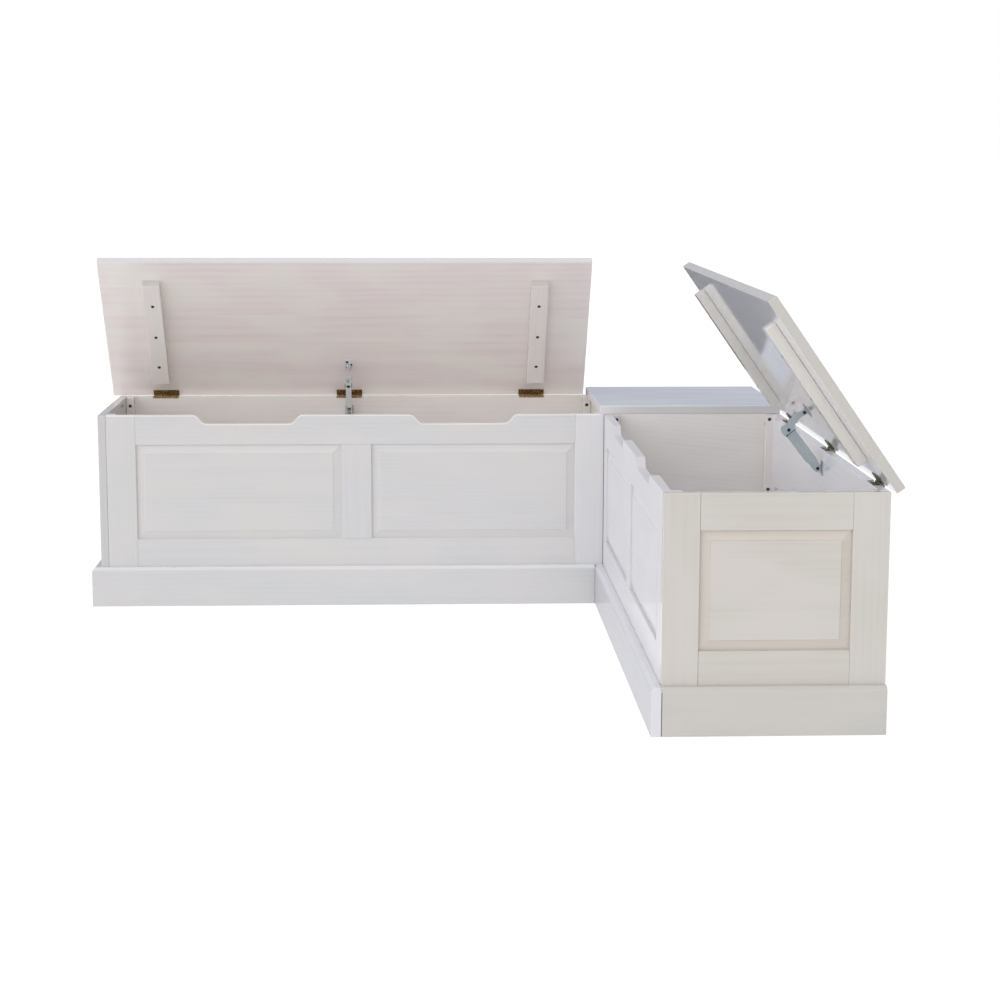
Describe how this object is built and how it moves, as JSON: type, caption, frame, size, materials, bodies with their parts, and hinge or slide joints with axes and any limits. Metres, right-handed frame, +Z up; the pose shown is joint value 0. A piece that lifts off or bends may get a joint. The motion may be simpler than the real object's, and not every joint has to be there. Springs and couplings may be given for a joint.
{
  "type": "corner storage bench",
  "caption": "L-shaped wooden storage bench with panelled chests on both arms, a fixed corner top and hinged seat lids held open by folding stays.",
  "frame": {"origin": "on the floor, under the middle of the bench's bounding box with both lids open as in the picture", "axes": "+Z up; +Y towards the wall behind the left chest; +X towards the wall behind the right chest; the left chest's panelled front faces -Y and the right chest's panelled front faces -X"},
  "size_m": [1.6422, 1.6422, 0.807],
  "materials": {
    "front_pine": "white glazed and waxed pine",
    "panel_pine": "white glazed and waxed pine, raised panels",
    "inside_pine": "thin white glaze on the inside faces",
    "top_pine": "white glazed and waxed pine, seat boards",
    "aged_brass": "antique brass",
    "zinc_steel": "bright zinc plated"
  },
  "bodies": {
    "carcass": {"corner_inner_walls": "inside_pine", "corner_top": "top_pine", "left_front_stile_inner": "front_pine", "left_front_stile_outer": "front_pine", "left_front_top_rail": "front_pine", "left_front_bottom_rail": "front_pine", "left_front_muntin": "front_pine", "left_front_panel_inner": "panel_pine", "left_front_panel_outer": "panel_pine", "left_end_stile_front": "front_pine", "left_end_stile_back": "front_pine", "left_end_top_rail": "front_pine", "left_end_bottom_rail": "front_pine", "left_end_panel": "panel_pine", "left_back_wall": "inside_pine", "left_floor": "inside_pine", "left_plinth_long": "front_pine", "left_plinth_end": "front_pine", "left_hinge_inner_wall_leaf": "aged_brass", "left_hinge_middle_wall_leaf": "aged_brass", "left_hinge_outer_wall_leaf": "aged_brass", "left_stay_wall_bracket": "zinc_steel", "right_front_stile_inner": "front_pine", "right_front_stile_outer": "front_pine", "right_front_top_rail": "front_pine", "right_front_bottom_rail": "front_pine", "right_front_muntin": "front_pine", "right_front_panel_inner": "panel_pine", "right_front_panel_outer": "panel_pine", "right_end_stile_front": "front_pine", "right_end_stile_back": "front_pine", "right_end_top_rail": "front_pine", "right_end_bottom_rail": "front_pine", "right_end_panel": "panel_pine", "right_back_wall": "inside_pine", "right_floor": "inside_pine", "right_plinth_long": "front_pine", "right_plinth_end": "front_pine", "right_hinge_inner_wall_leaf": "aged_brass", "right_hinge_middle_wall_leaf": "aged_brass", "right_hinge_outer_wall_leaf": "aged_brass", "right_stay_wall_bracket": "zinc_steel"},
    "left_lid": {"left_lid": "top_pine", "left_lid_batten_inner": "inside_pine", "left_lid_batten_outer": "inside_pine", "left_hinge_inner_lid_leaf": "aged_brass", "left_hinge_middle_lid_leaf": "aged_brass", "left_hinge_outer_lid_leaf": "aged_brass", "left_stay_lid_bracket": "zinc_steel"},
    "left_stay_lower": {"left_stay_lower_arm": "zinc_steel"},
    "left_stay_upper": {"left_stay_upper_arm": "zinc_steel"},
    "right_lid": {"right_lid": "top_pine", "right_lid_batten_inner": "inside_pine", "right_lid_batten_outer": "inside_pine", "right_hinge_inner_lid_leaf": "aged_brass", "right_hinge_middle_lid_leaf": "aged_brass", "right_hinge_outer_lid_leaf": "aged_brass", "right_stay_lid_bracket": "zinc_steel"},
    "right_stay_lower": {"right_stay_lower_arm": "zinc_steel"},
    "right_stay_upper": {"right_stay_upper_arm": "zinc_steel"}
  },
  "joints": [
    {"name": "left_lid_hinge", "type": "hinge", "parent": "carcass", "child": "left_lid", "pos_m": [-0.22562, 0.80388, 0.4479], "axis": [1, 0, 0], "range_deg": [-18, 55]},
    {"name": "left_stay_wall_pivot", "type": "hinge", "parent": "carcass", "child": "left_stay_lower", "pos_m": [-0.22562, 0.77138, 0.412], "axis": [1, 0, 0], "range_deg": [-18, 55]},
    {"name": "left_stay_lid_pivot", "type": "hinge", "parent": "left_lid", "child": "left_stay_upper", "pos_m": [-0.22562, 0.74136, 0.52864], "axis": [1, 0, 0], "range_deg": [-55, 18]},
    {"name": "right_lid_hinge", "type": "hinge", "parent": "carcass", "child": "right_lid", "pos_m": [0.80388, -0.22062, 0.4479], "axis": [0, -1, 0], "range_deg": [-18, 55]},
    {"name": "right_stay_wall_pivot", "type": "hinge", "parent": "carcass", "child": "right_stay_lower", "pos_m": [0.77138, -0.23762, 0.412], "axis": [0, -1, 0], "range_deg": [-18, 55]},
    {"name": "right_stay_lid_pivot", "type": "hinge", "parent": "right_lid", "child": "right_stay_upper", "pos_m": [0.74136, -0.23762, 0.52864], "axis": [0, -1, 0], "range_deg": [-55, 18]}
  ],
  "couplings": [
    {"joint": "left_stay_wall_pivot", "follows": "left_lid_hinge", "ratio": 1},
    {"joint": "left_stay_lid_pivot", "follows": "left_lid_hinge", "ratio": -1},
    {"joint": "right_stay_wall_pivot", "follows": "right_lid_hinge", "ratio": 1},
    {"joint": "right_stay_lid_pivot", "follows": "right_lid_hinge", "ratio": -1}
  ]
}
